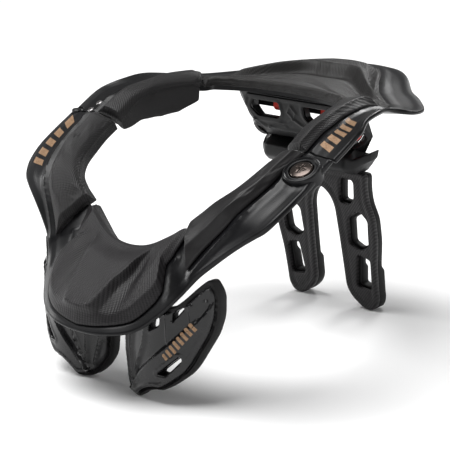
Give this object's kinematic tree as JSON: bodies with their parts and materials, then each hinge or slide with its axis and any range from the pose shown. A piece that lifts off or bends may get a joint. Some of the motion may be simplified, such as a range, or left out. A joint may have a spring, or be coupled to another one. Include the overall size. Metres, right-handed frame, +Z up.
{
  "type": "motocross neck brace",
  "caption": "Two-part padded collar that closes round the neck, with chest flaps in front and a forked strut down the back.",
  "frame": {"origin": "on the floor under the middle of the whole brace, which stands on its two chest flap tips and two strut feet", "axes": "+Z up, the wearer faces -Y, the wearer's left is +X"},
  "size_m": [0.2808, 0.365, 0.2172],
  "materials": {
    "satin black shell": "satin moulded",
    "charcoal foam": "ribbed and twill skin over foam",
    "red nylon": "satin",
    "dark chrome": "dark polished"
  },
  "bodies": {
    "rear": {"rear_chassis": "satin black shell", "rear_arm_pad_left": "charcoal foam", "rear_arm_pad_right": "charcoal foam", "rear_centre_pad": "charcoal foam", "rear_lower_frame": "satin black shell", "adjuster_pin": "satin black shell", "adjuster_collar_left": "red nylon", "adjuster_collar_right": "red nylon", "strut_saddle": "charcoal foam", "thoracic_strut": "charcoal foam", "hinge_barrel": "satin black shell"},
    "front": {"front_chassis": "satin black shell", "front_arm_pad_left": "charcoal foam", "front_arm_pad_right": "charcoal foam", "front_centre_pad": "charcoal foam", "closure_housing": "satin black shell", "chest_pad_left": "charcoal foam", "chest_pad_right": "charcoal foam", "chest_shell_left": "satin black shell", "chest_shell_right": "satin black shell"},
    "button": {"closure_button": "dark chrome"},
    "lever_left": {"adjuster_lever_left": "red nylon"},
    "lever_right": {"adjuster_lever_right": "red nylon"}
  },
  "joints": [
    {"name": "collar_gate", "type": "hinge", "parent": "rear", "child": "front", "pos_m": [-0.13493, -0.05033, 0.1829], "axis": [0, 0, -1], "range_deg": [0, 60]},
    {"name": "button_press", "type": "slide", "parent": "front", "child": "button", "axis": [-0.0378, 0.4836, -0.8745], "range_m": [0, 0.0015], "stiffness_N_per_m": 400},
    {"name": "lever_left_turn", "type": "hinge", "parent": "rear", "child": "lever_left", "pos_m": [0.0515, 0.08947, 0.16076], "axis": [0.7926, 0, -0.6097], "range_deg": [-45, 45]},
    {"name": "lever_right_turn", "type": "hinge", "parent": "rear", "child": "lever_right", "pos_m": [-0.0515, 0.08947, 0.16076], "axis": [-0.7926, 0, -0.6097], "range_deg": [-45, 45]}
  ]
}
